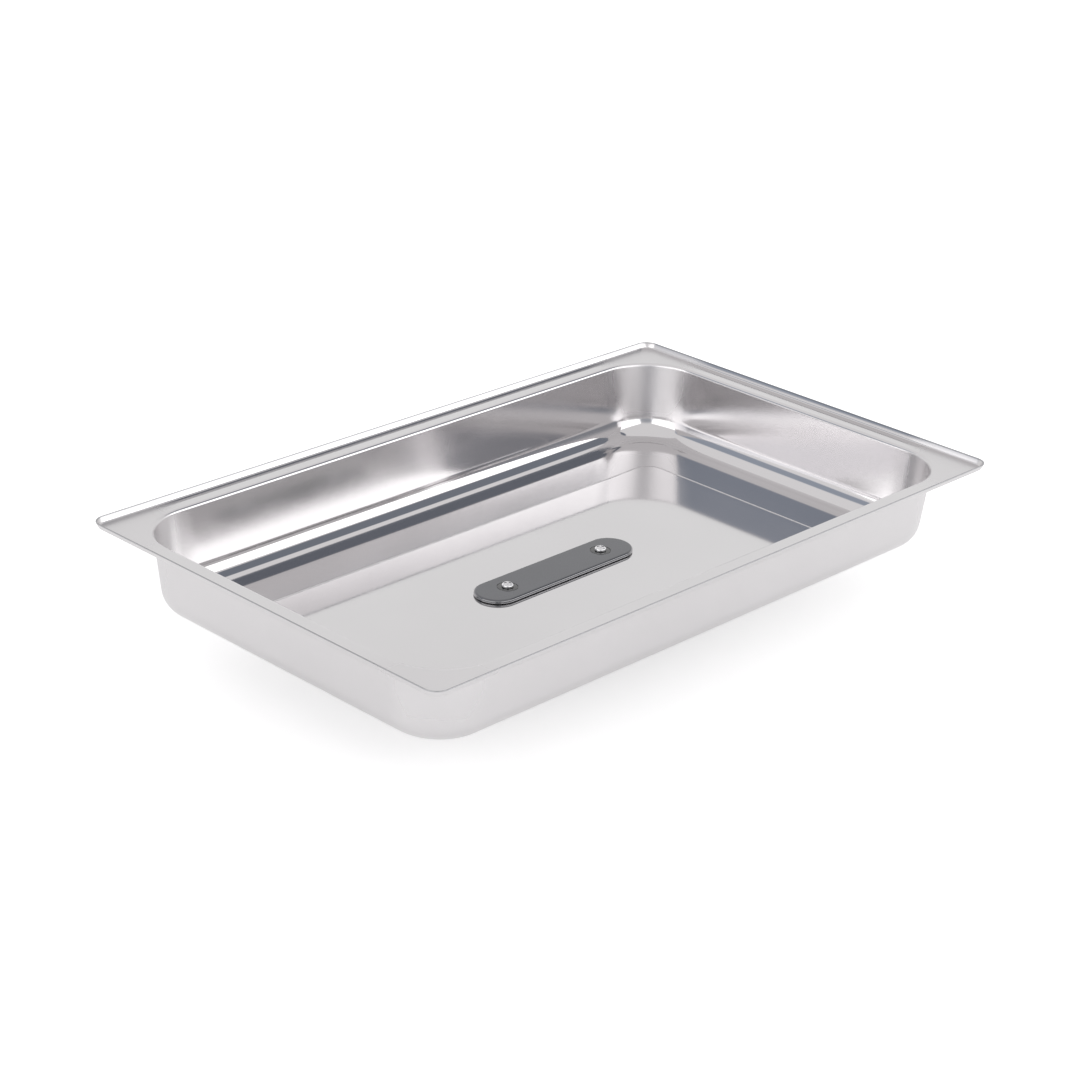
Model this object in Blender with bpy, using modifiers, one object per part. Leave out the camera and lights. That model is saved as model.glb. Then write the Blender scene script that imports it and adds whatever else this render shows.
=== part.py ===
"""Stainless cover for a full-size food pan, lying open side up on its handle.

Units are metres and +Z is up. The handle's flat grip stands on z = 0, X runs along
the cover's length and Y along its width.
"""
import math

import bmesh
import bpy

OBJECT_NAME = "food_pan_cover"

# Rim and lip
RIM_LENGTH = 0.530
RIM_WIDTH = 0.325
RIM_CORNER_RADIUS = 0.010
LIP_RISE = 0.0042
LIP_RUN = 0.0019
LIP_BEND_RADIUS = 0.0012
FLANGE_WIDTH = 0.0144

# Drawn tray
SHEET_THICKNESS = 0.0008
PAN_DEPTH = 0.0553
WALL_DRAFT = math.radians(7.5)
OPENING_CORNER_RADIUS = 0.0424
OPENING_BEND_RADIUS = 0.0025
FLOOR_BEND_RADIUS = 0.017
PANEL_INSET = 0.0735
PANEL_CORNER_RADIUS = 0.012
PANEL_DROP = 0.0013

# Backing plate inside the tray
PLATE_LENGTH = 0.141
PLATE_WIDTH = 0.032
PLATE_THICKNESS = 0.0026
PLATE_EDGE_RADIUS = 0.0011

# Screws, washers, seals and threaded inserts
SCREW_SPACING = 0.090
SCREW_RADIUS = 0.002
SCREW_HEAD_RADIUS = 0.004
SCREW_HEAD_HEIGHT = 0.0029
SCREW_HEAD_SIDE = 0.0009
SCREW_TIP_CHAMFER = 0.0005
RECESS_LENGTH = 0.0044
RECESS_WIDTH = 0.0009
RECESS_DEPTH = 0.0016
THREAD_ENGAGEMENT = 0.009
WASHER_RADIUS = 0.007
WASHER_THICKNESS = 0.0008
SEAL_RADIUS = 0.0075
SEAL_THICKNESS = 0.001
INSERT_WALL = 0.0012
INSERT_LENGTH = 0.008

# Handle under the tray
HANDLE_HEIGHT = 0.038
HANDLE_WIDTH = 0.028
GRIP_THICKNESS = 0.014
FOOT_LENGTH = 0.026
FOOT_LEAN = 0.005
GRIP_OUTER_RADIUS = 0.012
GRIP_INNER_RADIUS = 0.008
HANDLE_EDGE_RADIUS = 0.0035

# Clearances
TOUCH_GAP = 0.0003
HOLE_CLEARANCE = 0.0003
POCKET_END_CLEARANCE = 0.001
MINIMUM_CORNER_RADIUS = 0.001
WELD_DISTANCE = 0.00001

# Smoothness of round stretches
CORNER_STEPS = 10
BEND_STEPS = 5
FLOOR_BEND_STEPS = 8
ROUND_STEPS = 28
DOME_STEPS = 5
EDGE_SEGMENTS = 3
SMOOTH_ANGLE = math.radians(35.0)

# Heights, from the rest plane upwards
seal_bottom = HANDLE_HEIGHT + TOUCH_GAP
tray_underside = seal_bottom + SEAL_THICKNESS + TOUCH_GAP
panel_height = tray_underside + SHEET_THICKNESS
floor_height = panel_height + PANEL_DROP
flange_height = floor_height + PAN_DEPTH
lip_height = flange_height + LIP_RISE
plate_bottom = panel_height + TOUCH_GAP
plate_top = plate_bottom + PLATE_THICKNESS
washer_bottom = plate_top - WASHER_THICKNESS
washer_seat = washer_bottom - TOUCH_GAP
head_bottom = plate_top + TOUCH_GAP
screw_tip = HANDLE_HEIGHT - THREAD_ENGAGEMENT

# Distances in from the rim's outer edge, and shared radii
lip_edge_inset = SHEET_THICKNESS * math.sin(math.atan2(LIP_RISE, LIP_RUN))
lip_foot_inset = lip_edge_inset + LIP_RUN
opening_inset = lip_foot_inset + FLANGE_WIDTH
wall_foot_inset = opening_inset + PAN_DEPTH * math.tan(WALL_DRAFT)
screw_hole_radius = SCREW_RADIUS + HOLE_CLEARANCE
washer_seat_radius = WASHER_RADIUS + HOLE_CLEARANCE
insert_radius = screw_hole_radius + INSERT_WALL
pocket_radius = insert_radius + HOLE_CLEARANCE
pocket_depth = max(INSERT_LENGTH, THREAD_ENGAGEMENT) + POCKET_END_CLEARANCE
SIDES = (("left", -1), ("right", 1))


def clear_scene():
    """Remove every object that the scene starts with."""
    for scene_object in list(bpy.data.objects):
        bpy.data.objects.remove(scene_object, do_unlink=True)


def new_collection(name):
    """Add a collection under the scene."""
    collection = bpy.data.collections.new(name)
    bpy.context.scene.collection.children.link(collection)
    return collection


def new_material(name, colour, roughness, metallic):
    """Make a Principled material with one colour, roughness and metallic value."""
    material = bpy.data.materials.new(name)
    material.use_nodes = True
    shader = material.node_tree.nodes["Principled BSDF"]
    shader.inputs["Base Color"].default_value = (*colour, 1.0)
    shader.inputs["Roughness"].default_value = roughness
    shader.inputs["Metallic"].default_value = metallic
    return material


def add_part(name, mesh, material):
    """Put a mesh in the parts collection as a named object."""
    part = bpy.data.objects.new(name, mesh)
    mesh.materials.append(material)
    parts.objects.link(part)
    return part


def mesh_from_bmesh(name, work):
    """Turn a bmesh into mesh data, shaded smooth between sharp edges."""
    mesh = bpy.data.meshes.new(name)
    work.to_mesh(mesh)
    work.free()
    mesh.shade_smooth()
    mesh.set_sharp_from_angle(angle=SMOOTH_ANGLE)
    return mesh


def arc_points(centre, radius, first_angle, turn, steps):
    """Return points along an arc, both ends included."""
    points = []
    for step in range(steps + 1):
        angle = first_angle + turn * step / steps
        points.append((centre[0] + radius * math.cos(angle), centre[1] + radius * math.sin(angle)))
    return points


def round_corner(before, corner, after, radius, steps):
    """Return the arc that rounds one corner of a flat outline."""
    to_before = math.atan2(before[1] - corner[1], before[0] - corner[0])
    to_after = math.atan2(after[1] - corner[1], after[0] - corner[0])
    opening = math.remainder(to_after - to_before, math.tau)
    half = opening / 2
    middle = to_before + half
    reach = radius / abs(math.sin(half))
    centre = (corner[0] + reach * math.cos(middle), corner[1] + reach * math.sin(middle))
    side = math.copysign(1.0, opening)
    first_angle = to_before - side * math.pi / 2
    turn = side * (abs(opening) - math.pi)
    return arc_points(centre, radius, first_angle, turn, steps)


def rounded_rectangle(length, width, radius, steps):
    """Return an outline around the origin, anticlockwise, with round corners."""
    radius = max(radius, MINIMUM_CORNER_RADIUS)
    points = []
    for quarter, (side_x, side_y) in enumerate(((1, 1), (-1, 1), (-1, -1), (1, -1))):
        centre = (side_x * (length / 2 - radius), side_y * (width / 2 - radius))
        points += arc_points(centre, radius, quarter * math.pi / 2, math.pi / 2, steps)
    return points


def round_ended_outline(length, width, steps):
    """Return an outline around the origin, anticlockwise, with half circles for its ends."""
    radius = width / 2
    reach = length / 2 - radius
    points = arc_points((reach, 0.0), radius, -math.pi / 2, math.pi, steps)
    points += arc_points((-reach, 0.0), radius, math.pi / 2, math.pi, steps)
    return points


def tray_profile():
    """Return the sheet's upper face as (inset, height) points: rim, then walls, then panel."""
    lip_edge = (lip_edge_inset, lip_height)
    lip_foot = (lip_foot_inset, flange_height)
    opening_edge = (opening_inset, flange_height)
    wall_foot = (wall_foot_inset, floor_height)
    panel_edge = (PANEL_INSET, panel_height)
    rim_points = [lip_edge]
    rim_points += round_corner(lip_edge, lip_foot, opening_edge, LIP_BEND_RADIUS, BEND_STEPS)
    wall_points = round_corner(lip_foot, opening_edge, wall_foot, OPENING_BEND_RADIUS, BEND_STEPS)
    wall_points += round_corner(opening_edge, wall_foot, panel_edge, FLOOR_BEND_RADIUS, FLOOR_BEND_STEPS)
    return rim_points, wall_points, [panel_edge]


def tray_rings():
    """Return the closed sections that the tray is lofted through, from lip to floor panel."""
    corners_at_rim = (
        RIM_CORNER_RADIUS,
        OPENING_CORNER_RADIUS + opening_inset,
        PANEL_CORNER_RADIUS + PANEL_INSET,
    )
    rings = []
    for points, corner_at_rim in zip(tray_profile(), corners_at_rim):
        for inset, height in points:
            outline = rounded_rectangle(
                RIM_LENGTH - 2 * inset, RIM_WIDTH - 2 * inset, corner_at_rim - inset, CORNER_STEPS
            )
            rings.append([(x, y, height) for x, y in outline])
    return rings


def build_tray(material, cutters):
    """Loft the drawn sheet through its sections, thicken it and cut the two screw holes."""
    work = bmesh.new()
    rings = [[work.verts.new(point) for point in ring] for ring in tray_rings()]
    for outer, inner in zip(rings, rings[1:]):
        for index in range(len(outer)):
            following = (index + 1) % len(outer)
            work.faces.new((outer[index], outer[following], inner[following], inner[index]))
    work.faces.new(rings[-1])
    tray = add_part("tray_shell", mesh_from_bmesh("tray_shell", work), material)
    sheet = tray.modifiers.new("sheet", "SOLIDIFY")
    sheet.thickness = SHEET_THICKNESS
    sheet.offset = -1.0
    sheet.use_even_offset = True
    cut_with(tray, cutters)
    return tray


def extruded_outline(name, outline, thickness):
    """Make a flat closed outline into a welded mesh that is centred on its thickness."""
    curve = bpy.data.curves.new(name, "CURVE")
    curve.dimensions = "2D"
    curve.fill_mode = "BOTH"
    curve.extrude = thickness / 2
    spline = curve.splines.new("POLY")
    spline.points.add(len(outline) - 1)
    for point, (x, y) in zip(spline.points, outline):
        point.co = (x, y, 0.0, 1.0)
    spline.use_cyclic_u = True
    guide = bpy.data.objects.new(name + "_outline", curve)
    bpy.context.scene.collection.objects.link(guide)
    depsgraph = bpy.context.evaluated_depsgraph_get()
    flat_mesh = bpy.data.meshes.new_from_object(guide.evaluated_get(depsgraph))
    bpy.data.objects.remove(guide, do_unlink=True)
    work = bmesh.new()
    work.from_mesh(flat_mesh)
    bpy.data.meshes.remove(flat_mesh)
    bmesh.ops.remove_doubles(work, verts=work.verts, dist=WELD_DISTANCE)
    bmesh.ops.recalc_face_normals(work, faces=work.faces)
    return work


def cut_with(part, cutters):
    """Subtract each cutter from a part."""
    for cutter in cutters:
        modifier = part.modifiers.new(cutter.name, "BOOLEAN")
        modifier.operation = "DIFFERENCE"
        modifier.object = cutter


def round_edges(part, width):
    """Round the part's sharp edges that carry a bevel weight."""
    bevel = part.modifiers.new("rounded_edges", "BEVEL")
    bevel.limit_method = "WEIGHT"
    bevel.width = width
    bevel.segments = EDGE_SEGMENTS


def weigh_sharp_edges(work, wanted):
    """Mark the sharp edges for which wanted(edge) holds, so that they get rounded."""
    weight = work.edges.layers.float.new("bevel_weight_edge")
    for edge in work.edges:
        if edge.calc_face_angle(0.0) > SMOOTH_ANGLE and wanted(edge):
            edge[weight] = 1.0


def build_plate(material, cutters):
    """Make the flat plate with full round ends, with a shallow seat for each washer."""
    outline = round_ended_outline(PLATE_LENGTH, PLATE_WIDTH, 2 * CORNER_STEPS)
    work = extruded_outline("backing_plate", outline, PLATE_THICKNESS)
    weigh_sharp_edges(work, lambda edge: True)
    plate = add_part("backing_plate", mesh_from_bmesh("backing_plate", work), material)
    plate.location.z = plate_bottom + PLATE_THICKNESS / 2
    round_edges(plate, PLATE_EDGE_RADIUS)
    cut_with(plate, cutters)
    return plate


def handle_outline():
    """Return the handle's side view: two feet joined by the grip, open towards the tray."""
    foot_out = SCREW_SPACING / 2 + FOOT_LENGTH / 2
    foot_in = SCREW_SPACING / 2 - FOOT_LENGTH / 2
    corners = [
        (-foot_out, HANDLE_HEIGHT, 0.0),
        (-foot_out + FOOT_LEAN, 0.0, GRIP_OUTER_RADIUS),
        (foot_out - FOOT_LEAN, 0.0, GRIP_OUTER_RADIUS),
        (foot_out, HANDLE_HEIGHT, 0.0),
        (foot_in, HANDLE_HEIGHT, 0.0),
        (foot_in, GRIP_THICKNESS, GRIP_INNER_RADIUS),
        (-foot_in, GRIP_THICKNESS, GRIP_INNER_RADIUS),
        (-foot_in, HANDLE_HEIGHT, 0.0),
    ]
    points = []
    for index, (x, height, radius) in enumerate(corners):
        if radius == 0.0:
            points.append((x, height))
            continue
        before = corners[index - 1]
        after = corners[(index + 1) % len(corners)]
        points += round_corner(before, (x, height), after, radius, CORNER_STEPS)
    return points


def build_handle(material, cutters):
    """Make the moulded bridge handle, with a blind pocket in each foot for its insert."""
    work = extruded_outline("handle", handle_outline(), HANDLE_WIDTH)
    foot_top = HANDLE_HEIGHT - TOUCH_GAP
    weigh_sharp_edges(work, lambda edge: min(end.co.y for end in edge.verts) < foot_top)
    handle = add_part("handle", mesh_from_bmesh("handle", work), material)
    handle.rotation_euler.x = math.pi / 2
    round_edges(handle, HANDLE_EDGE_RADIUS)
    cut_with(handle, cutters)
    return handle


def turned_mesh(name, profile, closed):
    """Make a profile in the XZ plane into mesh edges for turning about Z."""
    work = bmesh.new()
    points = [work.verts.new((radius, 0.0, height)) for radius, height in profile]
    for start, end in zip(points, points[1:]):
        work.edges.new((start, end))
    if closed:
        work.edges.new((points[-1], points[0]))
    mesh = bpy.data.meshes.new(name)
    work.to_mesh(mesh)
    work.free()
    return mesh


def turn_about_z(profile_object):
    """Turn an object's profile edges into a solid about its own Z axis."""
    turning = profile_object.modifiers.new("turning", "SCREW")
    turning.axis = "Z"
    turning.steps = ROUND_STEPS
    turning.render_steps = ROUND_STEPS
    turning.use_merge_vertices = True
    turning.merge_threshold = WELD_DISTANCE
    turning.use_smooth_shade = True


def add_turned_part(name, profile, closed, x, material):
    """Turn a profile about the vertical line through x."""
    part = add_part(name, turned_mesh(name, profile, closed), material)
    part.location.x = x
    turn_about_z(part)
    return part


def ring_profile(inner_radius, outer_radius, bottom, top):
    """Return a flat ring's section, run down its outer side."""
    return [(inner_radius, top), (outer_radius, top), (outer_radius, bottom), (inner_radius, bottom)]


def screw_profile():
    """Return half of a domed machine screw, from the top of its head to its tip."""
    dome_height = SCREW_HEAD_HEIGHT - SCREW_HEAD_SIDE
    dome_foot = head_bottom + SCREW_HEAD_SIDE
    points = []
    for step in range(DOME_STEPS + 1):
        angle = step / DOME_STEPS * math.pi / 2
        points.append((SCREW_HEAD_RADIUS * math.sin(angle), dome_foot + dome_height * math.cos(angle)))
    points += [
        (SCREW_HEAD_RADIUS, head_bottom),
        (SCREW_RADIUS, head_bottom),
        (SCREW_RADIUS, screw_tip + SCREW_TIP_CHAMFER),
        (SCREW_RADIUS - SCREW_TIP_CHAMFER, screw_tip),
        (0.0, screw_tip),
    ]
    return points


def add_cutter(name, cutter, location):
    """Place an object and keep it as a hidden cutter."""
    cutter.name = name
    cutter.location = location
    cutter.hide_render = True
    cutter.display_type = "WIRE"
    for collection in list(cutter.users_collection):
        collection.objects.unlink(cutter)
    cutter_collection.objects.link(cutter)
    return cutter


def hole_cutter(name, radius, x, bottom, top):
    """Make an upright round cutter between two heights."""
    bpy.ops.mesh.primitive_cylinder_add(vertices=ROUND_STEPS, radius=radius, depth=top - bottom)
    return add_cutter(name, bpy.context.object, (x, 0.0, (top + bottom) / 2))


def seated_hole_cutter(name, x):
    """Make the cutter for a screw hole in the plate, with a washer seat at its mouth."""
    profile = [
        (0.0, head_bottom),
        (washer_seat_radius, head_bottom),
        (washer_seat_radius, washer_seat),
        (screw_hole_radius, washer_seat),
        (screw_hole_radius, panel_height),
        (0.0, panel_height),
    ]
    cutter = bpy.data.objects.new(name, turned_mesh(name, profile, False))
    turn_about_z(cutter)
    cutter.rotation_euler.z = math.pi / ROUND_STEPS
    return add_cutter(name, cutter, (x, 0.0, 0.0))


def recess_cutters(name, x):
    """Make the two crossing slots of a screw head's drive recess."""
    cutters = []
    head_top = head_bottom + SCREW_HEAD_HEIGHT
    for number, turn in enumerate((math.pi / 4, -math.pi / 4), start=1):
        bpy.ops.mesh.primitive_cube_add(size=1.0, rotation=(0.0, 0.0, turn))
        slot = bpy.context.object
        slot.scale = (RECESS_LENGTH, RECESS_WIDTH, 2 * RECESS_DEPTH)
        cutters.append(add_cutter(f"{name}_{number}", slot, (x, 0.0, head_top)))
    return cutters


def build_fixing(side, x, materials):
    """Make one screw with its washer, seal and threaded insert."""
    screw = add_turned_part(f"screw_{side}", screw_profile(), False, x, materials["steel"])
    cut_with(screw, recess_cutters(f"recess_{side}", x))
    washer = ring_profile(screw_hole_radius, WASHER_RADIUS, washer_bottom, washer_bottom + WASHER_THICKNESS)
    add_turned_part(f"washer_{side}", washer, True, x, materials["washer"])
    seal = ring_profile(screw_hole_radius, SEAL_RADIUS, seal_bottom, seal_bottom + SEAL_THICKNESS)
    add_turned_part(f"seal_{side}", seal, True, x, materials["seal"])
    insert_top = HANDLE_HEIGHT - TOUCH_GAP
    insert = ring_profile(screw_hole_radius, insert_radius, insert_top - INSERT_LENGTH, insert_top)
    add_turned_part(f"insert_{side}", insert, True, x, materials["brass"])


clear_scene()
parts = new_collection(OBJECT_NAME)
cutter_collection = new_collection("cutters")

stainless = new_material("stainless_steel", (0.62, 0.62, 0.63), 0.22, 1.0)
black_gloss = new_material("black_enamel", (0.012, 0.012, 0.013), 0.12, 0.0)
handle_plastic = new_material("black_moulding", (0.018, 0.018, 0.019), 0.42, 0.0)
fixing_materials = {
    "steel": new_material("screw_steel", (0.70, 0.70, 0.71), 0.20, 1.0),
    "washer": new_material("black_nylon", (0.015, 0.015, 0.016), 0.30, 0.0),
    "seal": new_material("grey_silicone", (0.30, 0.30, 0.31), 0.60, 0.0),
    "brass": new_material("brass", (0.60, 0.43, 0.18), 0.35, 1.0),
}

tray_holes = []
plate_holes = []
insert_pockets = []
for side_name, side_sign in SIDES:
    screw_x = side_sign * SCREW_SPACING / 2
    build_fixing(side_name, screw_x, fixing_materials)
    tray_holes.append(
        hole_cutter(f"tray_hole_{side_name}", screw_hole_radius, screw_x, seal_bottom, plate_bottom)
    )
    plate_holes.append(seated_hole_cutter(f"plate_hole_{side_name}", screw_x))
    insert_pockets.append(
        hole_cutter(
            f"insert_pocket_{side_name}", pocket_radius, screw_x, HANDLE_HEIGHT - pocket_depth, seal_bottom
        )
    )

build_tray(stainless, tray_holes)
build_plate(black_gloss, plate_holes)
build_handle(handle_plastic, insert_pockets)
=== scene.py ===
"""Looks of a stainless food pan cover that lies open side up on its handle.

Units are metres in the frame's axes: the handle's grip stands on z = 0, X runs along the
cover's length and Y along its width. Azimuths run from +X towards +Y.
"""
import math

import bmesh
import bpy
from mathutils import Matrix, Vector


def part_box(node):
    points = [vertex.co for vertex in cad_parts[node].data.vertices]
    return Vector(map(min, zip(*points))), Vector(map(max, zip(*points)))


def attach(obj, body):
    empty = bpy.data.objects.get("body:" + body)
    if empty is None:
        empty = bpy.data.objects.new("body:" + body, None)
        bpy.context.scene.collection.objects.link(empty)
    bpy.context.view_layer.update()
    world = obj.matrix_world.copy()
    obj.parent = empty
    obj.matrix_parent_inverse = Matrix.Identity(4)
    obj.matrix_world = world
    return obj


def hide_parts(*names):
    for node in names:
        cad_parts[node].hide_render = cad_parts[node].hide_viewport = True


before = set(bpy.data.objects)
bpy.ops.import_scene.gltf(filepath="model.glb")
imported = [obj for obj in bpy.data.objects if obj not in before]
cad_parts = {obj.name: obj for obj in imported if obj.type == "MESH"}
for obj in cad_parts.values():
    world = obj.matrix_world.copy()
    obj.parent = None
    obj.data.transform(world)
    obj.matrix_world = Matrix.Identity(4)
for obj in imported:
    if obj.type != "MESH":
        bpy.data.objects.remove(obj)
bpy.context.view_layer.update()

BODY = "root"
SIDES = ("left", "right")
QUADRANTS = ((1, 1), (-1, 1), (-1, -1), (1, -1))

# Drawn tray
SHEET_THICKNESS = 0.0008
RIM_CORNER_RADIUS = 0.010
LIP_RISE = 0.0042
LIP_RUN = 0.0019
LIP_BEND_RADIUS = 0.0012
FLANGE_WIDTH = 0.0144
PAN_DEPTH = 0.0553
WALL_DRAFT = math.radians(6.5)
OPENING_CORNER_RADIUS = 0.0424
OPENING_BEND_RADIUS = 0.0025
FLOOR_BEND_RADIUS = 0.017
PANEL_INSET = 0.0735
PANEL_CORNER_RADIUS = 0.012
PANEL_DROP = 0.0013
PANEL_MARGIN = 0.004
MINIMUM_CORNER_RADIUS = 0.001

# Crease round the floor panel
GROOVE_HALF_WIDTH = 0.0009
GROOVE_DEPTH = 0.00016
GROOVE_RADIUS = 0.0008

# Walls, which are slightly hollow and wavy
LONG_WALL_BOW = -0.0002
SHORT_WALL_BOW = -0.0004
BOW_EVENNESS = 6
WALL_WAVE = 0.00005
WALL_WAVE_COUNT = 3

# Finish of the steel, from the panel up to the lip's cut edge
PANEL_ROUGHNESS = 0.06
FLOOR_ROUGHNESS = 0.055
FLOOR_BEND_ROUGHNESS = 0.07
WALL_ROUGHNESS = 0.14
FLANGE_ROUGHNESS = 0.09
CORNER_DULLNESS = 0.2
CORNER_BLUR = 0.012
CUT_EDGE_DEPTH = 0.0012
CUT_EDGE_COLOUR = (0.39, 0.39, 0.40)

# Plate, screws, washers, seals and inserts
PLATE_TOP_EDGE_RADIUS = 0.0017
PLATE_FOOT_EDGE_RADIUS = 0.0005
EDGE_GLOSS_START = 0.0002125
EDGE_GLOSS_FULL = 0.00085
PLATE_REFRACTION = 2.1
EDGE_GLOSS_REFRACTION = 2.0
WASHER_REFRACTION = 1.8
HOLE_RADIUS = 0.0023
WASHER_SEAT_RADIUS = 0.0073
WASHER_SEAT_DEPTH = 0.0011
SCREW_HEAD_SIDE = 0.0009
SCREW_HEAD_HEIGHT = 0.0029
SCREW_HEAD_CHAMFER = 0.0002
SCREW_RADIUS = 0.002
THREAD_PITCH = 0.0007
THREAD_DEPTH = 0.0003
RECESS_LENGTH = 0.0052
RECESS_WIDTH = 0.0013
RECESS_DEPTH = 0.0017
RECESS_STRAIGHT_DEPTH = 0.000425
RECESS_TAPER = 0.55
RECESS_TURN = math.radians(45.0)
RING_EDGE_RADIUS = 0.00025
SEAL_EDGE_RADIUS = 0.0004
KNURL_DEPTH = 0.0002
KNURL_TEETH = 28
STEPS_PER_TOOTH = 4

# Handle
GRIP_THICKNESS = 0.014
FOOT_LENGTH = 0.026
FOOT_LEAN = 0.005
GRIP_OUTER_RADIUS = 0.012
GRIP_INNER_RADIUS = 0.008
HANDLE_EDGE_RADIUS = 0.0035
POCKET_RADIUS = 0.0038
POCKET_DEPTH = 0.010

# Smoothness of round stretches, with points beside them that keep the flats flat
SUPPORT_DISTANCE = 0.0004
CORNER_STEPS = 20
SIDE_STEPS = 28
BEND_STEPS = 8
FLOOR_BEND_STEPS = 20
NOSE_STEPS = 6
GROOVE_STEPS = 3
ROUND_STEPS = 64
DOME_STEPS = 12
HANDLE_STEPS = 16
EDGE_SEGMENTS = 5
PLATE_EDGE_STEPS = 10
SMOOTH_ANGLE = math.radians(35.0)
HEIGHT_TOLERANCE = 0.00001

# Share of a noise pattern's range that colours and finishes run over
PATTERN_LOW = 0.3
PATTERN_HIGH = 0.7

# Camera, as it stood for the photograph
CAMERA_ACROSS = (-1.1862, -1.1227)
CAMERA_OVER_LIP = 0.6906
CAMERA_HEADING = math.radians(43.80)
CAMERA_PITCH = math.radians(24.027)
CAMERA_ROLL = math.radians(2.188)
FOCAL_LENGTH_PIXELS = 2648.4
PHOTO_WIDTH_PIXELS = 1080.0
SENSOR_WIDTH_MM = 36.0

# Studio, with its angles in degrees
LIGHT_TARGET = Vector((0.0, 0.0, 0.06))
LIGHT_DISTANCE = 4.0
FLOOR_SIZE = 30.0
NEAR_FLOOR = 0.35
FAR_FLOOR = 1.0
NEAR_GLOW = 0.42
FAR_GLOW = 0.8
MIRRORED_GLOW_SHARE = 0.55
WHITE = (1.0, 1.0, 1.0)
SWEEP_COLOUR = (0.95, 0.95, 0.95)
SWEEP_TOP = 26.0
SWEEP_END = 32.0
SWEEP_HALF_SPAN = 78.0
SWEEP_SIDE_END = 95.0
ROOM_COLOUR = (0.90, 0.89, 0.895)

# Dim round patches of the room, with blurred edges
DIM_PATCHES = (
    {"azimuth": -24.0, "elevation": 44.5, "radius": 14.0, "blur": 3.0, "colour": (0.22, 0.24, 0.28)},
    {"azimuth": 133.0, "elevation": 31.0, "radius": 11.0, "blur": 4.0, "colour": (0.37, 0.41, 0.48)},
    {"azimuth": -132.0, "elevation": 6.0, "radius": 19.0, "blur": 22.0, "colour": (0.42, 0.44, 0.48)},
)

# Upright softboxes: where each stands, how far it reaches to both sides of that, the elevations of
# its lower and upper edges there, and how bright it is
SOFTBOXES = {
    "right_softbox": {"azimuth": -75.0, "sides": (-41.0, 44.0), "edges": (0.0, 40.2), "radiance": 1.3},
    "front_softbox": {"azimuth": 178.0, "sides": (-32.0, 38.0), "edges": (1.0, 37.8), "radiance": 1.25},
}

# Places worked out from the frame
tray_low, tray_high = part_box("tray_shell")
rim_length = tray_high.x - tray_low.x
rim_width = tray_high.y - tray_low.y
lip_height = tray_high.z
flange_height = lip_height - LIP_RISE
floor_height = flange_height - PAN_DEPTH
panel_height = floor_height - PANEL_DROP
lip_edge_inset = SHEET_THICKNESS * math.sin(math.atan2(LIP_RISE, LIP_RUN))
lip_foot_inset = lip_edge_inset + LIP_RUN
opening_inset = lip_foot_inset + FLANGE_WIDTH
flange_middle = lip_foot_inset + FLANGE_WIDTH / 2
wall_foot_inset = opening_inset + PAN_DEPTH * math.tan(WALL_DRAFT)
corner_x = rim_length / 2 - opening_inset - OPENING_CORNER_RADIUS
corner_y = rim_width / 2 - opening_inset - OPENING_CORNER_RADIUS
bend_end_inset = wall_foot_inset + FLOOR_BEND_RADIUS * math.tan((math.pi / 2 - WALL_DRAFT) / 2)


def new_piece(name, work, material, node):
    """Make a bmesh into a smooth piece that stands for a CAD node."""
    bmesh.ops.recalc_face_normals(work, faces=work.faces)
    mesh = bpy.data.meshes.new(name)
    work.to_mesh(mesh)
    work.free()
    mesh.materials.append(material)
    piece = bpy.data.objects.new(name, mesh)
    bpy.context.scene.collection.objects.link(piece)
    smooth(piece)
    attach(piece, BODY)
    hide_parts(node)
    return piece


def smooth(piece):
    """Shade a piece smooth between its sharp edges."""
    piece.data.shade_smooth()
    piece.data.set_sharp_from_angle(angle=SMOOTH_ANGLE)


def apply_modifiers(piece):
    """Put a piece's modifiers into its mesh."""
    depsgraph = bpy.context.evaluated_depsgraph_get()
    finished = bpy.data.meshes.new_from_object(piece.evaluated_get(depsgraph))
    piece.modifiers.clear()
    piece.data = finished
    smooth(piece)


def cut_piece(piece, cutters):
    """Subtract cutters from a piece, then remove them."""
    for cutter in cutters:
        modifier = piece.modifiers.new("cut", "BOOLEAN")
        modifier.operation = "DIFFERENCE"
        modifier.object = cutter
    apply_modifiers(piece)
    for cutter in cutters:
        bpy.data.objects.remove(cutter, do_unlink=True)


def new_cutter(work):
    """Make a bmesh into a cutter object."""
    bmesh.ops.recalc_face_normals(work, faces=work.faces)
    mesh = bpy.data.meshes.new("cutter")
    work.to_mesh(mesh)
    work.free()
    cutter = bpy.data.objects.new("cutter", mesh)
    bpy.context.scene.collection.objects.link(cutter)
    return cutter


def loft(work, rings, closed=False):
    """Join rings of points with faces; open ends are capped, closed lofts run round."""
    loops = [[work.verts.new(point) for point in ring] for ring in rings]
    pairs = list(zip(loops, loops[1:]))
    if closed:
        pairs.append((loops[-1], loops[0]))
    for first, second in pairs:
        for index in range(len(first)):
            following = (index + 1) % len(first)
            work.faces.new((first[index], first[following], second[following], second[index]))
    if not closed:
        work.faces.new(loops[0])
        work.faces.new(loops[-1])


def arc_points(centre, radius, first_angle, turn, steps):
    """Return points along an arc, both ends included."""
    points = []
    for step in range(steps + 1):
        angle = first_angle + turn * step / steps
        points.append((centre[0] + radius * math.cos(angle), centre[1] + radius * math.sin(angle)))
    return points


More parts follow.
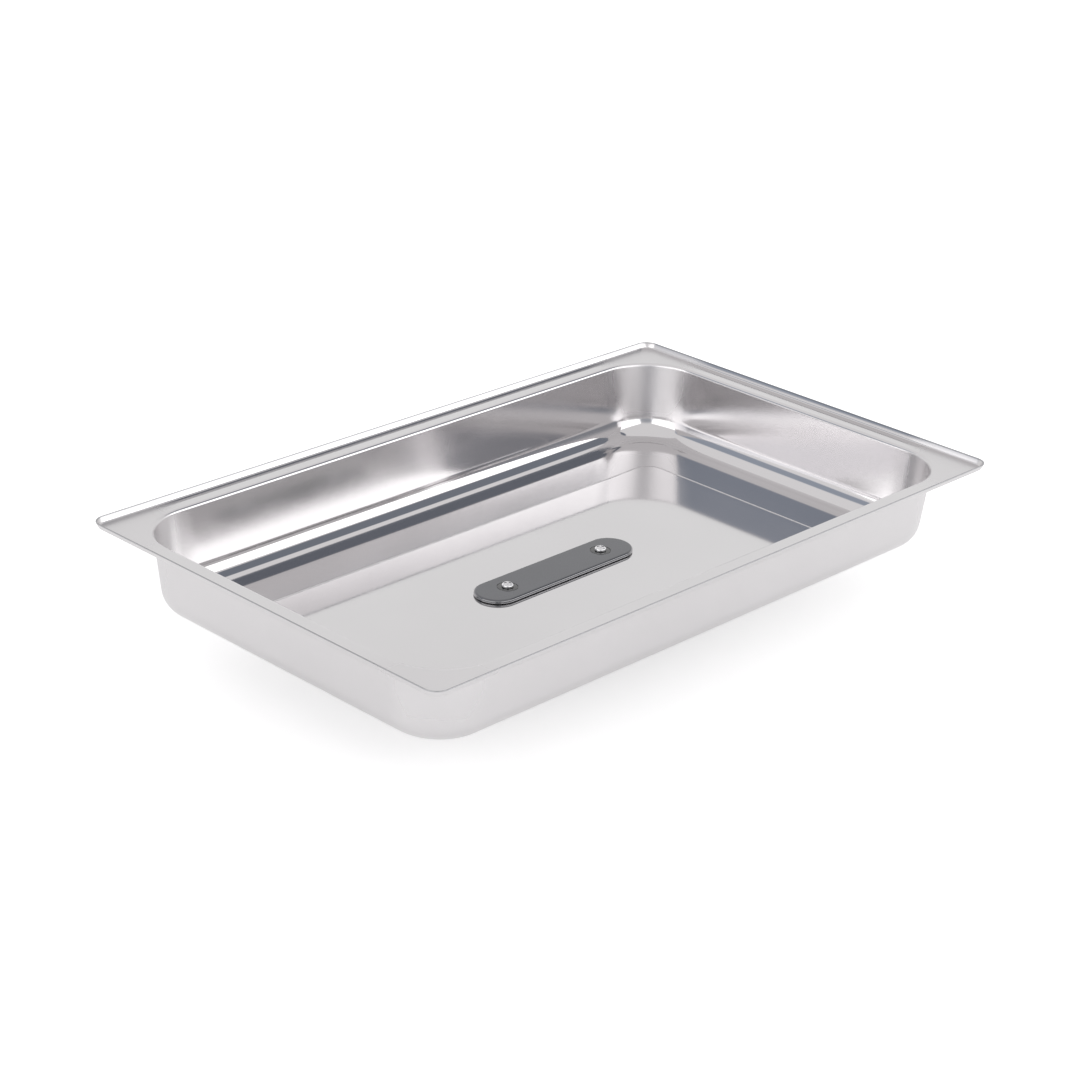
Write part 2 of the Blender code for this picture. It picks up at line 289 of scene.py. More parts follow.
def round_corner(before, corner, after, radius, steps):
    """Return the arc that rounds one corner of a flat outline."""
    to_before = math.atan2(before[1] - corner[1], before[0] - corner[0])
    to_after = math.atan2(after[1] - corner[1], after[0] - corner[0])
    opening = math.remainder(to_after - to_before, math.tau)
    half = opening / 2
    middle = to_before + half
    reach = radius / abs(math.sin(half))
    centre = (corner[0] + reach * math.cos(middle), corner[1] + reach * math.sin(middle))
    side = math.copysign(1.0, opening)
    first_angle = to_before - side * math.pi / 2
    turn = side * (abs(opening) - math.pi)
    return arc_points(centre, radius, first_angle, turn, steps)


def step_towards(point, target, distance):
    """Return the point a short way along the line to a target."""
    span = math.dist(point, target)
    share = distance / span
    return (point[0] + (target[0] - point[0]) * share, point[1] + (target[1] - point[1]) * share)


def rounded_path(corners):
    """Return a path with each inner corner rounded, and a point beside each arc on the flats.

    A corner is (x, y, radius, steps). The points beside the arcs keep the flats truly flat
    when they are shaded smooth.
    """
    path = [corners[0][:2]]
    for before, corner, after in zip(corners, corners[1:], corners[2:]):
        arc = round_corner(before[:2], corner[:2], after[:2], corner[2], corner[3])
        path.append(step_towards(arc[0], before[:2], SUPPORT_DISTANCE))
        path += arc
        path.append(step_towards(arc[-1], after[:2], SUPPORT_DISTANCE))
    path.append(corners[-1][:2])
    return path


def sheet_path():
    """Return the sheet's upper face as (inset, height) points, from the lip to the panel."""
    lip_edge = (lip_edge_inset, lip_height)
    lip_foot = (lip_foot_inset, flange_height)
    groove_bottom = panel_height - GROOVE_DEPTH
    return rounded_path([
        step_towards(lip_edge, lip_foot, SHEET_THICKNESS / 2),
        (*lip_foot, LIP_BEND_RADIUS, BEND_STEPS),
        (opening_inset, flange_height, OPENING_BEND_RADIUS, BEND_STEPS),
        (wall_foot_inset, floor_height, FLOOR_BEND_RADIUS, FLOOR_BEND_STEPS),
        (PANEL_INSET - GROOVE_HALF_WIDTH, panel_height, GROOVE_RADIUS, GROOVE_STEPS),
        (PANEL_INSET, groove_bottom, GROOVE_RADIUS, GROOVE_STEPS),
        (PANEL_INSET + GROOVE_HALF_WIDTH, panel_height, GROOVE_RADIUS, GROOVE_STEPS),
        (PANEL_INSET + GROOVE_HALF_WIDTH + PANEL_MARGIN, panel_height),
    ])


def path_normals(path):
    """Return the unit normals of an (inset, height) path, towards the open side."""
    normals = []
    for index in range(len(path)):
        before = path[max(index - 1, 0)]
        after = path[min(index + 1, len(path) - 1)]
        span = math.dist(before, after)
        normals.append(((before[1] - after[1]) / span, (after[0] - before[0]) / span))
    return normals


def nose_points(edge, normal):
    """Return the round edge of the lip, from the lower face to the upper one."""
    radius = SHEET_THICKNESS / 2
    centre = (edge[0] - radius * normal[0], edge[1] - radius * normal[1])
    upper_angle = math.atan2(normal[1], normal[0])
    return arc_points(centre, radius, upper_angle + math.pi, -math.pi, NOSE_STEPS)[1:-1]


def sheet_section():
    """Return the whole sheet's section: lower face, round lip edge, upper face."""
    upper = sheet_path()
    normals = path_normals(upper)
    lower = []
    for (inset, height), (across, up) in zip(upper, normals):
        lower.append((inset - SHEET_THICKNESS * across, height - SHEET_THICKNESS * up))
    return lower[::-1] + nose_points(upper[0], normals[0]) + upper


def corner_radius(inset):
    """Return the plan radius of the tray's corners at an inset from the rim."""
    wall_radius = OPENING_CORNER_RADIUS + opening_inset
    if inset < flange_middle:
        radius = RIM_CORNER_RADIUS - inset
    elif inset < bend_end_inset:
        radius = wall_radius - inset
    elif inset < PANEL_INSET:
        share = (inset - bend_end_inset) / (PANEL_INSET - bend_end_inset)
        bend_radius = wall_radius - bend_end_inset
        radius = bend_radius + (PANEL_CORNER_RADIUS - bend_radius) * share
    else:
        radius = PANEL_CORNER_RADIUS + PANEL_INSET - inset
    return max(radius, MINIMUM_CORNER_RADIUS)


def wall_shift(height, along, bow):
    """Return how far a bowed wall stands out at a height and a share of its length."""
    depth = min(max((flange_height - height) / PAN_DEPTH, 0.0), 1.0)
    swell = math.sin(math.pi * depth) * (1.0 - (2.0 * along - 1.0) ** BOW_EVENNESS)
    wave = math.sin(math.tau * WALL_WAVE_COUNT * along)
    return swell * (bow + WALL_WAVE * wave)


def tray_ring(inset, height):
    """Return one closed section of the tray, with its walls slightly bowed."""
    half_length = rim_length / 2 - inset
    half_width = rim_width / 2 - inset
    radius = corner_radius(inset)
    ring = []
    for quarter, (side_x, side_y) in enumerate(QUADRANTS):
        centre = (side_x * (half_length - radius), side_y * (half_width - radius))
        arc = arc_points(centre, radius, quarter * math.pi / 2, math.pi / 2, CORNER_STEPS)
        ring += [(x, y, height) for x, y in arc]
        start = Vector((*arc[-1], height))
        is_long = side_x * side_y > 0
        straight = 2 * (half_length if is_long else half_width) - 2 * radius
        bow = LONG_WALL_BOW if is_long else SHORT_WALL_BOW
        heading = quarter * math.pi / 2 + math.pi
        forward = Vector((math.cos(heading), math.sin(heading), 0.0))
        outward = Vector((forward.y, -forward.x, 0.0))
        for step in range(1, SIDE_STEPS):
            along = step / SIDE_STEPS
            shift = wall_shift(height, along, bow)
            ring.append(start + forward * straight * along + outward * shift)
    return ring


def fixing_place(side):
    """Return the middle of a screw in plan."""
    low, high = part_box(f"screw_{side}")
    return (low.x + high.x) / 2, (low.y + high.y) / 2


def hole_cutters(radius, bottom, top):
    """Make an upright round cutter at each screw."""
    cutters = []
    for side in SIDES:
        outline = arc_points(fixing_place(side), radius, 0.0, math.tau, ROUND_STEPS)[:-1]
        work = bmesh.new()
        loft(work, [[(x, y, height) for x, y in outline] for height in (bottom, top)])
        cutters.append(new_cutter(work))
    return cutters


def build_tray(material):
    """Loft the drawn sheet and cut its two screw holes."""
    work = bmesh.new()
    loft(work, [tray_ring(inset, height) for inset, height in sheet_section()])
    tray = new_piece("drawn_tray", work, material, "tray_shell")
    cut_piece(tray, hole_cutters(HOLE_RADIUS, tray_low.z - SHEET_THICKNESS, flange_height))


def round_ended_outline(length, width, steps):
    """Return an outline around the origin, anticlockwise, with half circles for its ends."""
    radius = width / 2
    reach = length / 2 - radius
    points = arc_points((reach, 0.0), radius, -math.pi / 2, math.pi, steps)
    points += arc_points((-reach, 0.0), radius, math.pi / 2, math.pi, steps)
    return points


def turned_rings(profile, centre, steps, ripple=0.0, teeth=1):
    """Return rings of points for a profile of (radius, height) turned about an upright axis."""
    rings = []
    for radius, height in profile:
        ring = []
        for step in range(steps):
            angle = math.tau * step / steps
            reach = radius - ripple * (0.5 + 0.5 * math.cos(teeth * angle))
            x = centre[0] + reach * math.cos(angle)
            y = centre[1] + reach * math.sin(angle)
            ring.append((x, y, height))
        rings.append(ring)
    return rings


def plate_section(bottom, top):
    """Return the plate's edge as (inset, height) points, from its foot to its top."""
    foot = PLATE_FOOT_EDGE_RADIUS
    crown = PLATE_TOP_EDGE_RADIUS
    section = [(foot + SUPPORT_DISTANCE, bottom)]
    section += arc_points((foot, bottom + foot), foot, -math.pi / 2, -math.pi / 2, EDGE_SEGMENTS)
    section += arc_points((crown, top - crown), crown, math.pi, -math.pi / 2, PLATE_EDGE_STEPS)
    section.append((crown + SUPPORT_DISTANCE, top))
    return section


def build_plate(material):
    """Make the glossy plate with round ends, softened edges and a seat for each washer."""
    low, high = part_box("backing_plate")
    length = high.x - low.x
    width = high.y - low.y
    rings = []
    for inset, height in plate_section(low.z, high.z):
        outline = round_ended_outline(length - 2 * inset, width - 2 * inset, 2 * CORNER_STEPS)
        rings.append([(x, y, height) for x, y in outline])
    work = bmesh.new()
    loft(work, rings)
    plate = new_piece("gloss_plate", work, material, "backing_plate")
    seats = hole_cutters(WASHER_SEAT_RADIUS, high.z - WASHER_SEAT_DEPTH, lip_height)
    holes = hole_cutters(HOLE_RADIUS, tray_low.z, lip_height)
    cut_piece(plate, seats + holes)


def screw_profile(low, high):
    """Return half of a domed screw with a threaded shank, from its head to its tip."""
    head_radius = (high.x - low.x) / 2
    head_bottom = high.z - SCREW_HEAD_HEIGHT
    dome_height = SCREW_HEAD_HEIGHT - SCREW_HEAD_SIDE
    points = []
    for step in range(1, DOME_STEPS + 1):
        angle = step / DOME_STEPS * math.pi / 2
        height = head_bottom + SCREW_HEAD_SIDE + dome_height * math.cos(angle)
        points.append((head_radius * math.sin(angle), height))
    points.append((head_radius, head_bottom + SCREW_HEAD_CHAMFER))
    points.append((head_radius - SCREW_HEAD_CHAMFER, head_bottom))
    points.append((SCREW_RADIUS, head_bottom))
    turns = int((head_bottom - low.z) / THREAD_PITCH) - 1
    for turn in range(turns):
        crest = head_bottom - (turn + 0.5) * THREAD_PITCH
        points.append((SCREW_RADIUS, crest))
        points.append((SCREW_RADIUS - THREAD_DEPTH, crest - THREAD_PITCH / 2))
    points.append((SCREW_RADIUS - THREAD_DEPTH, low.z))
    return points


def cross_outline(length, width):
    """Return a plus-shaped outline around the origin, anticlockwise."""
    reach = length / 2
    half = width / 2
    arm = [(reach, -half), (reach, half), (half, half)]
    points = []
    for quarter in range(4):
        turn = Matrix.Rotation(quarter * math.pi / 2 + RECESS_TURN, 2)
        points += [turn @ Vector(point) for point in arm]
    return points


def recess_cutter(x, y, top):
    """Make the tapered cross that cuts a screw's drive recess."""
    sections = (
        (RECESS_LENGTH, top + RECESS_DEPTH),
        (RECESS_LENGTH, top - RECESS_STRAIGHT_DEPTH),
        (RECESS_LENGTH * RECESS_TAPER, top - RECESS_DEPTH),
    )
    rings = []
    for length, height in sections:
        outline = cross_outline(length, RECESS_WIDTH)
        rings.append([(x + point.x, y + point.y, height) for point in outline])
    work = bmesh.new()
    loft(work, rings)
    return new_cutter(work)


def build_screw(side, material):
    """Make a domed machine screw with a cross recess."""
    low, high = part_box(f"screw_{side}")
    work = bmesh.new()
    centre = fixing_place(side)
    loft(work, turned_rings(screw_profile(low, high), centre, ROUND_STEPS))
    screw = new_piece(f"pan_head_screw_{side}", work, material, f"screw_{side}")
    cut_piece(screw, [recess_cutter(*centre, high.z)])


def ring_profile(inner, outer, bottom, top, edge):
    """Return a flat ring's closed section with rounded edges."""
    corners = (
        (outer - edge, bottom + edge),
        (outer - edge, top - edge),
        (inner + edge, top - edge),
        (inner + edge, bottom + edge),
    )
    points = []
    for quarter, centre in enumerate(corners):
        points += arc_points(centre, edge, (quarter - 1) * math.pi / 2, math.pi / 2, EDGE_SEGMENTS)
    return points


def build_ring(name, node, side, edge, material, ripple=0.0, teeth=1):
    """Make a washer, seal or insert in the place of its CAD ring."""
    low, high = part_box(node)
    profile = ring_profile(HOLE_RADIUS, (high.x - low.x) / 2, low.z, high.z, edge)
    steps = ROUND_STEPS if teeth == 1 else STEPS_PER_TOOTH * teeth
    work = bmesh.new()
    loft(work, turned_rings(profile, fixing_place(side), steps, ripple, teeth), closed=True)
    new_piece(name, work, material, node)


def handle_outline(low, high):
    """Return the handle's side view: two feet joined by the grip, open towards the tray."""
    foot_out = (high.x - low.x) / 2
    foot_in = foot_out - FOOT_LENGTH
    corners = [
        (-foot_out, high.z, 0.0),
        (-foot_out + FOOT_LEAN, low.z, GRIP_OUTER_RADIUS),
        (foot_out - FOOT_LEAN, low.z, GRIP_OUTER_RADIUS),
        (foot_out, high.z, 0.0),
        (foot_in, high.z, 0.0),
        (foot_in, GRIP_THICKNESS, GRIP_INNER_RADIUS),
        (-foot_in, GRIP_THICKNESS, GRIP_INNER_RADIUS),
        (-foot_in, high.z, 0.0),
    ]
    points = []
    for index, (x, height, radius) in enumerate(corners):
        if radius == 0.0:
            points.append((x, height))
            continue
        before = corners[index - 1]
        after = corners[(index + 1) % len(corners)]
        points += round_corner(before, (x, height), after, radius, HANDLE_STEPS)
    return points


def build_handle(material):
    """Make the moulded bridge handle, with a blind pocket in each foot for its insert."""
    low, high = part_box("handle")
    work = bmesh.new()
    outline = handle_outline(low, high)
    loft(work, [[(x, y, height) for x, height in outline] for y in (low.y, high.y)])
    bmesh.ops.recalc_face_normals(work, faces=work.faces)
    weight = work.edges.layers.float.new("bevel_weight_edge")
    foot_top = high.z - HEIGHT_TOLERANCE
    for edge in work.edges:
        is_sharp = edge.calc_face_angle(0.0) > SMOOTH_ANGLE
        if is_sharp and min(end.co.z for end in edge.verts) < foot_top:
            edge[weight] = 1.0
    handle = new_piece("bridge_handle", work, material, "handle")
    bevel = handle.modifiers.new("rounded_edges", "BEVEL")
    bevel.limit_method = "WEIGHT"
    bevel.width = HANDLE_EDGE_RADIUS
    bevel.segments = EDGE_SEGMENTS
    cut_piece(handle, hole_cutters(POCKET_RADIUS, high.z - POCKET_DEPTH, lip_height))


def blend_node(nodes, links, share, first, second):
    """Return a blend from one colour to another, which is given as a constant."""
    mix = nodes.new("ShaderNodeMix")
    mix.data_type = "RGBA"
    links.new(share, mix.inputs["Factor"])
    links.new(first, mix.inputs["A"])
    mix.inputs["B"].default_value = (*second, 1.0)
    return mix.outputs["Result"]


def math_node(nodes, links, operation, first, second):
    """Return two values combined; the second one may be a constant."""
    node = nodes.new("ShaderNodeMath")
    node.operation = operation
    links.new(first, node.inputs[0])
    if isinstance(second, float):
        node.inputs[1].default_value = second
    else:
        links.new(second, node.inputs[1])
    return node.outputs["Value"]


class Surface:
    """A node material under construction, with its Principled shader."""

    def __init__(self, name, metallic):
        self.material = bpy.data.materials.new(name)
        self.material.use_nodes = True
        self.nodes = self.material.node_tree.nodes
        self.links = self.material.node_tree.links
        self.shader = self.nodes["Principled BSDF"]
        self.shader.inputs["Metallic"].default_value = metallic
        self.place = self.nodes.new("ShaderNodeTexCoord").outputs["Object"]

    def noise(self, scale, stretch=(1.0, 1.0, 1.0), detail=3.0):
        """Add a noise pattern, stretched along the axes, and return its value."""
        mapping = self.nodes.new("ShaderNodeMapping")
        mapping.inputs["Scale"].default_value = stretch
        self.links.new(self.place, mapping.inputs["Vector"])
        texture = self.nodes.new("ShaderNodeTexNoise")
        texture.inputs["Scale"].default_value = scale
        texture.inputs["Detail"].default_value = detail
        self.links.new(mapping.outputs["Vector"], texture.inputs["Vector"])
        return texture.outputs["Fac"]

    def ramp(self, value, low, high):
        """Map a pattern to a range of values or colours."""
        ramp = self.nodes.new("ShaderNodeValToRGB")
        stops = ((PATTERN_LOW, low), (PATTERN_HIGH, high))
        for element, (place, level) in zip(ramp.color_ramp.elements, stops):
            element.position = place
            element.color = (*level, 1.0) if isinstance(level, tuple) else (level, level, level, 1.0)
        self.links.new(value, ramp.inputs["Fac"])
        return ramp.outputs["Color"]

    def coordinate(self, axis):
        """Return the place along an axis."""
        split = self.nodes.new("ShaderNodeSeparateXYZ")
        self.links.new(self.place, split.inputs["Vector"])
        return split.outputs[axis]

    def height_ramp(self, stops):
        """Map the height above the rest plane to values, from (height, value) stops."""
        bottom = stops[0][0]
        top = stops[-1][0]
        scale = self.nodes.new("ShaderNodeMapRange")
        scale.inputs["From Min"].default_value = bottom
        scale.inputs["From Max"].default_value = top
        self.links.new(self.coordinate("Z"), scale.inputs["Value"])
        ramp = self.nodes.new("ShaderNodeValToRGB")
        elements = ramp.color_ramp.elements
        while len(elements) < len(stops):
            elements.new(1.0)
        for element, (height, value) in zip(elements, stops):
            element.position = (height - bottom) / (top - bottom)
            element.color = (value, value, value, 1.0)
        self.links.new(scale.outputs["Result"], ramp.inputs["Fac"])
        return ramp.outputs["Color"]

    def outward_ramp(self, axis, start, end):
        """Rise from 0 to 1 between two distances from the middle along an axis."""
        distance = self.nodes.new("ShaderNodeMath")
        distance.operation = "ABSOLUTE"
        self.links.new(self.coordinate(axis), distance.inputs[0])
        scale = self.nodes.new("ShaderNodeMapRange")
        scale.inputs["From Min"].default_value = start
        scale.inputs["From Max"].default_value = end
        self.links.new(distance.outputs["Value"], scale.inputs["Value"])
        return scale.outputs["Result"]

    def combine(self, operation, first, second):
        """Combine two values."""
        return math_node(self.nodes, self.links, operation, first, second)

    def blend(self, share, first, second):
        """Blend from one colour to another, which is given as a constant."""
        return blend_node(self.nodes, self.links, share, first, second)

    def colour(self, value):
        """Drive the base colour."""
        self.links.new(value, self.shader.inputs["Base Color"])

    def roughness(self, value):
        """Drive the roughness."""
        self.links.new(value, self.shader.inputs["Roughness"])

    def bump(self, height, strength, distance):
        """Make the surface uneven with a bump."""
        bump = self.nodes.new("ShaderNodeBump")
        bump.inputs["Strength"].default_value = strength
        bump.inputs["Distance"].default_value = distance
        self.links.new(height, bump.inputs["Height"])
        self.links.new(bump.outputs["Normal"], self.shader.inputs["Normal"])


def stainless_steel():
    """Drawn stainless sheet: soft mirror with faint rolling lines, a dull cut edge and dull corners."""
    steel = Surface("stainless_steel", 1.0)
    sheet = steel.ramp(steel.noise(7.0), (0.655, 0.642, 0.648), (0.685, 0.672, 0.678))
    cut_edge = steel.height_ramp([
        (lip_height - CUT_EDGE_DEPTH, 0.0),
        (lip_height - CUT_EDGE_DEPTH / 2, 1.0),
    ])
    steel.colour(steel.blend(cut_edge, sheet, CUT_EDGE_COLOUR))
    finish = steel.height_ramp([
        (panel_height, PANEL_ROUGHNESS),
        (floor_height, FLOOR_ROUGHNESS),
        (floor_height + FLOOR_BEND_RADIUS, FLOOR_BEND_ROUGHNESS),
        (floor_height + 2 * FLOOR_BEND_RADIUS, WALL_ROUGHNESS),
        (flange_height - OPENING_BEND_RADIUS, WALL_ROUGHNESS),
        (flange_height, FLANGE_ROUGHNESS),
    ])
    unevenness = steel.ramp(steel.noise(14.0, detail=5.0), 0.85, 1.15)
    polish = steel.combine("MULTIPLY", finish, unevenness)
    strain_x = steel.outward_ramp("X", corner_x - CORNER_BLUR, corner_x + CORNER_BLUR)
    strain_y = steel.outward_ramp("Y", corner_y - CORNER_BLUR, corner_y + CORNER_BLUR)
    on_wall = steel.height_ramp([
        (floor_height + FLOOR_BEND_RADIUS / 2, 0.0),
        (floor_height + FLOOR_BEND_RADIUS, CORNER_DULLNESS),
    ])
    in_corner = steel.combine("MULTIPLY", strain_x, strain_y)
    strain = steel.combine("MULTIPLY", in_corner, on_wall)
    steel.roughness(steel.combine("ADD", polish, strain))
    steel.bump(steel.noise(1800.0, (0.05, 1.0, 1.0)), 0.008, 0.0001)
    return steel.material


def black_enamel():
    """Glossy black plate with a faint orange-peel surface and a thicker gloss along its edge."""
    enamel = Surface("black_enamel", 0.0)
    enamel.colour(enamel.ramp(enamel.noise(60.0), (0.009, 0.010, 0.012), (0.014, 0.016, 0.019)))
    enamel.roughness(enamel.ramp(enamel.noise(35.0), 0.09, 0.15))
    enamel.bump(enamel.noise(450.0), 0.10, 0.0001)
    enamel.shader.inputs["IOR"].default_value = PLATE_REFRACTION
    enamel.shader.inputs["Specular Tint"].default_value = (0.94, 0.94, 1.0, 1.0)
    plate_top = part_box("backing_plate")[1].z
    edge_gloss = enamel.height_ramp([
        (plate_top - EDGE_GLOSS_FULL, 1.0),
        (plate_top - EDGE_GLOSS_START, 0.0),
    ])
    enamel.links.new(edge_gloss, enamel.shader.inputs["Coat Weight"])
    enamel.shader.inputs["Coat IOR"].default_value = EDGE_GLOSS_REFRACTION
    enamel.shader.inputs["Coat Roughness"].default_value = 0.05
    return enamel.material


def screw_steel():
    """Bright plated steel with fine turning marks."""
    plated = Surface("screw_steel", 1.0)
    plated.colour(plated.ramp(plated.noise(300.0), (0.66, 0.66, 0.67), (0.76, 0.76, 0.77)))
    plated.roughness(plated.ramp(plated.noise(500.0), 0.12, 0.20))
    plated.bump(plated.noise(1500.0), 0.05, 0.00005)
    return plated.material


def black_nylon():
    """Smooth black washer."""
    nylon = Surface("black_nylon", 0.0)
    nylon.colour(nylon.ramp(nylon.noise(200.0), (0.012, 0.012, 0.013), (0.020, 0.020, 0.021)))
    nylon.roughness(nylon.ramp(nylon.noise(300.0), 0.14, 0.22))
    nylon.shader.inputs["IOR"].default_value = WASHER_REFRACTION
    nylon.bump(nylon.noise(1200.0), 0.08, 0.00005)
    return nylon.material


def black_moulding():
    """Moulded handle with a fine spark-eroded grain."""
    moulding = Surface("black_moulding", 0.0)
    moulding.colour(moulding.ramp(moulding.noise(40.0), (0.014, 0.014, 0.015), (0.024, 0.024, 0.025)))
    moulding.roughness(moulding.ramp(moulding.noise(90.0), 0.38, 0.52))
    moulding.bump(moulding.noise(2200.0, detail=2.0), 0.25, 0.0001)
    return moulding.material


def grey_silicone():
    """Dull grey seal with a dusty look."""
    silicone = Surface("grey_silicone", 0.0)
    silicone.colour(silicone.ramp(silicone.noise(150.0), (0.26, 0.26, 0.27), (0.34, 0.34, 0.35)))
    silicone.roughness(silicone.ramp(silicone.noise(220.0), 0.52, 0.66))
    silicone.bump(silicone.noise(1400.0), 0.10, 0.00005)
    return silicone.material


def turned_brass():
    """Knurled brass insert."""
    brass = Surface("turned_brass", 1.0)
    brass.colour(brass.ramp(brass.noise(180.0), (0.56, 0.39, 0.15), (0.66, 0.48, 0.21)))
    brass.roughness(brass.ramp(brass.noise(260.0), 0.28, 0.42))
    brass.bump(brass.noise(900.0, (1.0, 1.0, 0.1)), 0.10, 0.00005)
    return brass.material


def direction(azimuth, elevation):
    """Return the unit vector towards an azimuth and an elevation, both in degrees."""
    azimuth = math.radians(azimuth)
    elevation = math.radians(elevation)
    level = math.cos(elevation)
    return Vector((level * math.cos(azimuth), level * math.sin(azimuth), math.sin(elevation)))


def add_softbox(name, azimuth, sides, edges, radiance):
    """Stand an upright soft light of a given brightness beside the object."""
    first, last = (LIGHT_DISTANCE * math.tan(math.radians(angle)) for angle in sides)
    bottom, top = (LIGHT_DISTANCE * math.tan(math.radians(angle)) for angle in edges)
    light = bpy.data.lights.new(name, "AREA")
    light.shape = "RECTANGLE"
    light.size = last - first
    light.size_y = top - bottom
    light.energy = radiance * math.pi * light.size * light.size_y
    lamp = bpy.data.objects.new(name, light)
    outward = direction(azimuth, 0.0)
    sideways = direction(azimuth + 90.0, 0.0)
    upward = Vector((0.0, 0.0, 1.0))
    lamp.location = LIGHT_TARGET + outward * LIGHT_DISTANCE
    lamp.location += sideways * (first + last) / 2 + upward * (bottom + top) / 2
    lamp.rotation_euler = (-outward).to_track_quat("-Z", "Y").to_euler()
    lamp.visible_camera = False
    bpy.context.scene.collection.objects.link(lamp)


def seen_directly(nodes, links):
    """Return a value that is 1 for camera rays and a smaller share for mirror and glass rays."""
    ray = nodes.new("ShaderNodeLightPath").outputs
    mirrored = math_node(nodes, links, "MAXIMUM", ray["Is Glossy Ray"], ray["Is Transmission Ray"])
    share = math_node(nodes, links, "MULTIPLY", mirrored, MIRRORED_GLOW_SHARE)
    return math_node(nodes, links, "MAXIMUM", ray["Is Camera Ray"], share)


def white_paper():
    """Pale floor paper that brightens away from the object, reads as white and keeps its shadow."""
    paper = Surface("white_paper", 0.0)
    paper.colour(paper.ramp(paper.noise(3.0), (0.80, 0.80, 0.80), (0.82, 0.82, 0.82)))
    paper.shader.inputs["Roughness"].default_value = 0.9
    paper.shader.inputs["Specular IOR Level"].default_value = 0.0
    paper.shader.inputs["Emission Color"].default_value = (*WHITE, 1.0)
    distance = paper.nodes.new("ShaderNodeVectorMath")
    distance.operation = "LENGTH"
    paper.links.new(paper.place, distance.inputs[0])
    brighten = paper.nodes.new("ShaderNodeMapRange")
    brighten.interpolation_type = "SMOOTHSTEP"
    brighten.inputs["From Min"].default_value = NEAR_FLOOR
    brighten.inputs["From Max"].default_value = FAR_FLOOR
    brighten.inputs["To Min"].default_value = NEAR_GLOW
    brighten.inputs["To Max"].default_value = FAR_GLOW
    paper.links.new(distance.outputs["Value"], brighten.inputs["Value"])
    seen = seen_directly(paper.nodes, paper.links)
    glow = paper.combine("MULTIPLY", seen, brighten.outputs["Result"])
    paper.links.new(glow, paper.shader.inputs["Emission Strength"])
    return paper.material


def build_floor(material):
    """Lay the floor that the object stands on."""
    work = bmesh.new()
    bmesh.ops.create_grid(work, x_segments=1, y_segments=1, size=FLOOR_SIZE / 2)
    mesh = bpy.data.meshes.new("floor")
    work.to_mesh(mesh)
    work.free()
    mesh.materials.append(material)
    floor = bpy.data.objects.new("floor", mesh)
    bpy.context.scene.collection.objects.link(floor)


def fade_node(nodes, links, value, start, end):
    """Return a value that falls smoothly from 1 at start to 0 at end."""
    fade = nodes.new("ShaderNodeMapRange")
    fade.interpolation_type = "SMOOTHSTEP"
    fade.inputs["From Min"].default_value = start
    fade.inputs["From Max"].default_value = end
    fade.inputs["To Min"].default_value = 1.0
    fade.inputs["To Max"].default_value = 0.0
    links.new(value, fade.inputs["Value"])
    return fade.outputs["Result"]


def nearness_node(nodes, links, place, towards):
    """Return the cosine of the angle between a direction of the room and a given one."""
    nearness = nodes.new("ShaderNodeVectorMath")
    nearness.operation = "DOT_PRODUCT"
    nearness.inputs[1].default_value = towards
    links.new(place, nearness.inputs[0])
    return nearness.outputs["Value"]


def patch_node(nodes, links, place, patch):
    """Return a value that is 1 inside a round patch of the room and 0 outside it."""
    towards = direction(patch["azimuth"], patch["elevation"])
    inner = math.radians(patch["radius"] - patch["blur"] / 2)
    outer = math.radians(patch["radius"] + patch["blur"] / 2)
    nearness = nearness_node(nodes, links, place, towards)
    return fade_node(nodes, links, nearness, math.cos(inner), math.cos(outer))


def room_node(nodes, links, place):
    """Return the colour of the room around the sweep, with its dim patches."""
    colour = nodes.new("ShaderNodeRGB")
    colour.outputs["Color"].default_value = (*ROOM_COLOUR, 1.0)
    room = colour.outputs["Color"]
    for patch in DIM_PATCHES:
        share = patch_node(nodes, links, place, patch)
        room = blend_node(nodes, links, share, room, patch["colour"])
    return room


def sweep_node(nodes, links, place):
    """Return a value that is 1 on the sweep behind the object and 0 above it and beside it."""
    split = nodes.new("ShaderNodeSeparateXYZ")
    links.new(place, split.inputs["Vector"])
    top = math.sin(math.radians(SWEEP_TOP))
    end = math.sin(math.radians(SWEEP_END))
    below = fade_node(nodes, links, split.outputs["Z"], top, end)
    heading = (math.cos(CAMERA_HEADING), math.sin(CAMERA_HEADING), 0.0)
    nearness = nearness_node(nodes, links, place, heading)
    side = math.cos(math.radians(SWEEP_HALF_SPAN))
    side_end = math.cos(math.radians(SWEEP_SIDE_END))
    ahead = fade_node(nodes, links, nearness, side, side_end)
    return math_node(nodes, links, "MULTIPLY", below, ahead)


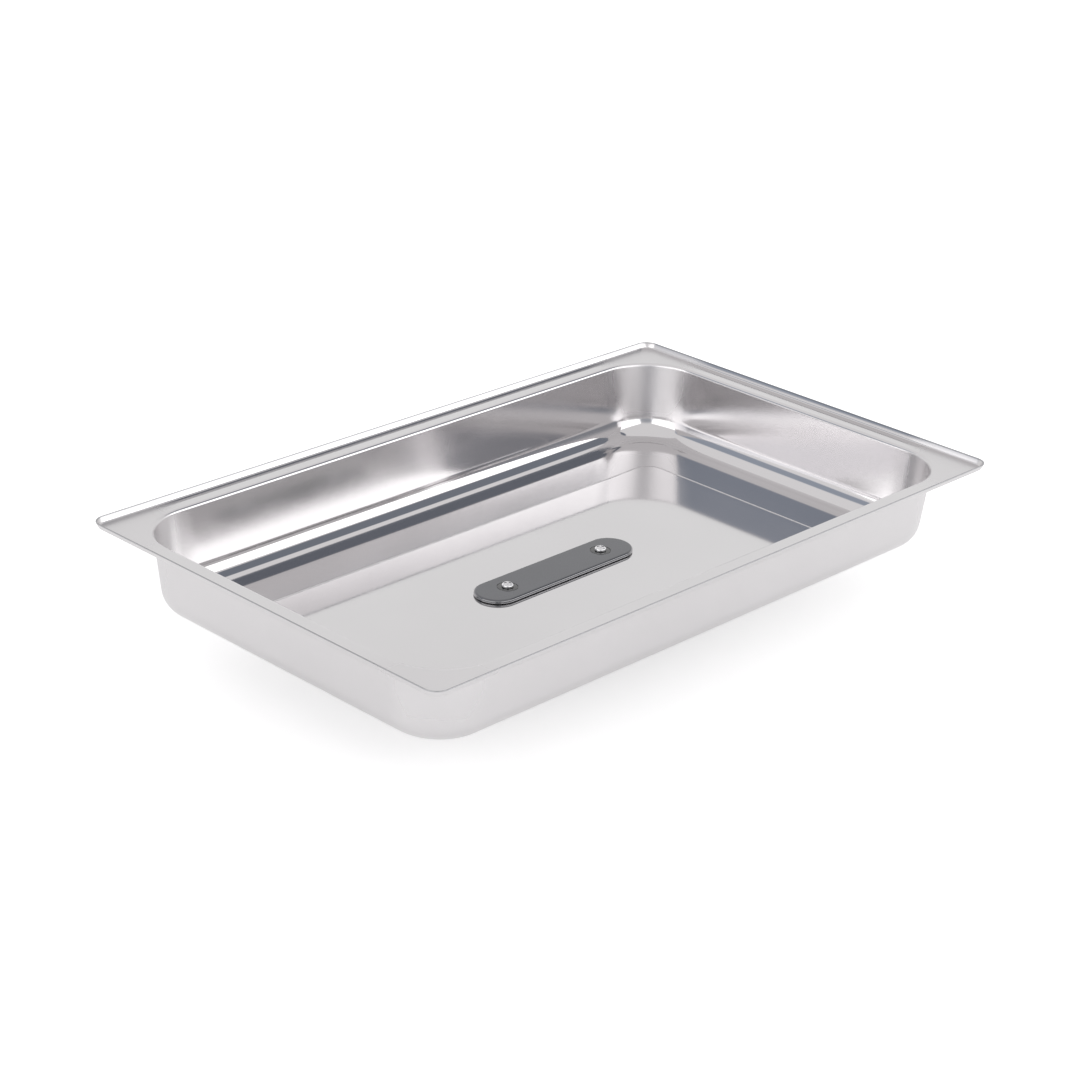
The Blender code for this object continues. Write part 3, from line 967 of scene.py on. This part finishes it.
def build_world():
    """Surround the object with a pale sweep behind it and a room elsewhere, white to the camera."""
    world = bpy.data.worlds.new("studio")
    world.use_nodes = True
    nodes = world.node_tree.nodes
    links = world.node_tree.links
    place = nodes.new("ShaderNodeTexCoord").outputs["Generated"]
    room = room_node(nodes, links, place)
    studio = blend_node(nodes, links, sweep_node(nodes, links, place), room, SWEEP_COLOUR)
    to_camera = nodes.new("ShaderNodeLightPath").outputs["Is Camera Ray"]
    shown = blend_node(nodes, links, to_camera, studio, WHITE)
    links.new(shown, nodes["Background"].inputs["Color"])
    bpy.context.scene.world = world


def build_camera():
    """Stand the camera where the photograph was taken from."""
    data = bpy.data.cameras.new("camera")
    data.sensor_width = SENSOR_WIDTH_MM
    data.lens = SENSOR_WIDTH_MM * FOCAL_LENGTH_PIXELS / PHOTO_WIDTH_PIXELS
    camera = bpy.data.objects.new("camera", data)
    level = math.cos(CAMERA_PITCH)
    across = Vector((math.cos(CAMERA_HEADING), math.sin(CAMERA_HEADING), 0.0))
    look = across * level - Vector((0.0, 0.0, math.sin(CAMERA_PITCH)))
    turn = look.to_track_quat("-Z", "Y").to_matrix() @ Matrix.Rotation(CAMERA_ROLL, 3, "Z")
    place = (*CAMERA_ACROSS, lip_height + CAMERA_OVER_LIP)
    camera.matrix_world = Matrix.Translation(place) @ turn.to_4x4()
    bpy.context.scene.collection.objects.link(camera)
    bpy.context.scene.camera = camera


build_camera()
build_world()
build_floor(white_paper())
for name, shape in SOFTBOXES.items():
    add_softbox(name, **shape)

bpy.context.scene.view_settings.view_transform = "Standard"

build_tray(stainless_steel())
build_plate(black_enamel())
build_handle(black_moulding())
screw_finish = screw_steel()
washer_finish = black_nylon()
seal_finish = grey_silicone()
insert_finish = turned_brass()
for side in SIDES:
    build_screw(side, screw_finish)
    build_ring(
        f"flat_washer_{side}", f"washer_{side}", side,
        RING_EDGE_RADIUS, washer_finish,
    )
    build_ring(
        f"ring_seal_{side}", f"seal_{side}", side,
        SEAL_EDGE_RADIUS, seal_finish,
    )
    build_ring(
        f"knurled_insert_{side}", f"insert_{side}", side,
        RING_EDGE_RADIUS, insert_finish,
        KNURL_DEPTH, KNURL_TEETH,
    )
